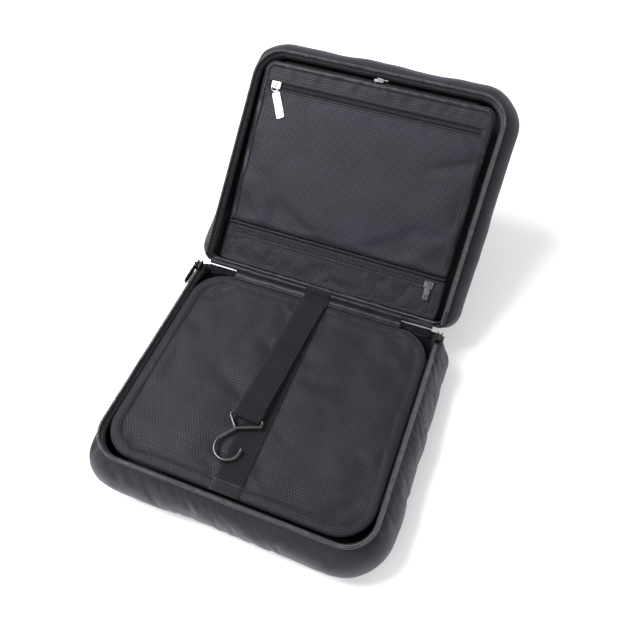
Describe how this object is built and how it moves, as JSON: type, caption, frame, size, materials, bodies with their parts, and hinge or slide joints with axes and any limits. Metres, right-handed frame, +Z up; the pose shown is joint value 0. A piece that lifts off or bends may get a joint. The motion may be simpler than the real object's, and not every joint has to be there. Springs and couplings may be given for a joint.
{
  "type": "cable organizer pouch",
  "caption": "Zipped soft pouch that opens like a book, with a padded flap over the base, a pocket page in the lid and a hanging strap with a hook.",
  "frame": {"origin": "centre of the base's flat underside", "axes": "+Z up from the underside, +X along the hinge, +Y from the front edge towards the hinge; -Y is the front"},
  "size_m": [0.28, 0.4301, 0.1891],
  "materials": {
    "outer_nylon": "matte ripstop weave",
    "padding": "matte foam",
    "lining": "smooth matte weave",
    "dobby_nylon": "satin honeycomb weave",
    "binding_tape": "matte ribbed tape",
    "webbing": "matte ribbed webbing",
    "satin": "satin",
    "zip_tape": "matte woven tape",
    "zip_teeth": "satin nylon coil",
    "coated_wire": "satin black coating",
    "bright_metal": "satin nickel",
    "dark_metal": "satin black"
  },
  "bodies": {
    "base": {"base_bottom_panel": "outer_nylon", "base_spine_panel": "outer_nylon", "base_gusset": "outer_nylon", "base_foam": "padding", "base_lining": "lining", "base_zip_tape": "zip_tape", "base_zip_teeth": "zip_teeth", "hinge_strip": "satin", "hinge_patch": "satin", "flap_hinge_seam": "lining"},
    "flap": {"flap_top_cover": "dobby_nylon", "flap_foam": "padding", "flap_back_cover": "lining", "flap_binding": "binding_tape", "flap_webbing": "webbing"},
    "strap": {"hanging_strap": "webbing"},
    "hook": {"hook": "coated_wire"},
    "lid": {"lid_outer_panel": "outer_nylon", "lid_spine_panel": "outer_nylon", "lid_gusset": "outer_nylon", "lid_foam": "padding", "lid_lining": "lining", "lid_zip_tape": "zip_tape", "lid_zip_teeth": "zip_teeth", "lower_pocket_panel": "dobby_nylon", "lower_zip_tape": "zip_tape", "lower_zip_teeth": "zip_teeth", "page_hinge_seam": "lining"},
    "page": {"page_front_panel": "dobby_nylon", "page_back_panel": "lining", "page_binding": "binding_tape", "front_zip_tape": "zip_tape", "front_zip_teeth": "zip_teeth", "top_zip_tape": "zip_tape", "top_zip_teeth": "zip_teeth"},
    "front_slider": {"front_zip_slider": "bright_metal"},
    "front_pull": {"front_zip_ring": "bright_metal", "front_zip_pull": "bright_metal"},
    "top_slider": {"top_zip_slider": "bright_metal"},
    "top_pull": {"top_zip_pull": "dark_metal"},
    "lower_slider": {"lower_zip_slider": "bright_metal"},
    "lower_pull": {"lower_zip_pull": "bright_metal"},
    "main_slider_left": {"main_zip_slider_left": "bright_metal"},
    "main_pull_left": {"main_zip_pull_left": "dark_metal"},
    "main_slider_right": {"main_zip_slider_right": "bright_metal"},
    "main_pull_right": {"main_zip_pull_right": "dark_metal"}
  },
  "joints": [
    {"name": "lid_hinge", "type": "hinge", "parent": "base", "child": "lid", "pos_m": [0, 0.109, 0.055], "axis": [-1, 0, 0], "range_deg": [-142, 38]},
    {"name": "flap_hinge", "type": "hinge", "parent": "base", "child": "flap", "pos_m": [0, 0.103, 0.0485], "axis": [-1, 0, 0], "range_deg": [0, 65]},
    {"name": "strap_lift", "type": "hinge", "parent": "flap", "child": "strap", "pos_m": [0, 0.097, 0.0524], "axis": [-0.9981, 0.061, 0], "range_deg": [0, 50]},
    {"name": "hook_swing", "type": "hinge", "parent": "strap", "child": "hook", "pos_m": [-0.00812, -0.03572, 0.05585], "axis": [-0.9981, 0.061, 0], "range_deg": [0, 120]},
    {"name": "page_hinge", "type": "hinge", "parent": "lid", "child": "page", "pos_m": [0, 0.15431, 0.0701], "axis": [1, 0, 0], "range_deg": [-4, 50]},
    {"name": "front_zip_slide", "type": "slide", "parent": "page", "child": "front_slider", "axis": [1, 0, 0], "range_m": [0, 0.198]},
    {"name": "front_pull_swing", "type": "hinge", "parent": "front_slider", "child": "front_pull", "pos_m": [-0.099, 0.25557, 0.16686], "axis": [-1, 0, 0], "range_deg": [0, 150]},
    {"name": "top_zip_slide", "type": "slide", "parent": "page", "child": "top_slider", "axis": [1, 0, 0], "range_m": [-0.09, 0.09]},
    {"name": "top_pull_swing", "type": "hinge", "parent": "top_slider", "child": "top_pull", "pos_m": [0, 0.27775, 0.18124], "axis": [0, -0.6691, 0.7431], "range_deg": [0, 20]},
    {"name": "lower_zip_slide", "type": "slide", "parent": "lid", "child": "lower_slider", "axis": [-1, 0, 0], "range_m": [0, 0.198]},
    {"name": "lower_pull_swing", "type": "hinge", "parent": "lower_slider", "child": "lower_pull", "pos_m": [0.0999, 0.14748, 0.06584], "axis": [-1, 0, 0], "range_deg": [0, 120]},
    {"name": "main_zip_slide_left", "type": "slide", "parent": "base", "child": "main_slider_left", "axis": [0, -1, 0], "range_m": [0, 0.17]},
    {"name": "main_pull_swing_left", "type": "hinge", "parent": "main_slider_left", "child": "main_pull_left", "pos_m": [-0.128, 0.099, 0.055], "axis": [0, 0, -1], "range_deg": [0, 120]},
    {"name": "main_zip_slide_right", "type": "slide", "parent": "base", "child": "main_slider_right", "axis": [0, -1, 0], "range_m": [0, 0.17]},
    {"name": "main_pull_swing_right", "type": "hinge", "parent": "main_slider_right", "child": "main_pull_right", "pos_m": [0.128, 0.099, 0.055], "axis": [0, 0, 1], "range_deg": [0, 120]}
  ]
}
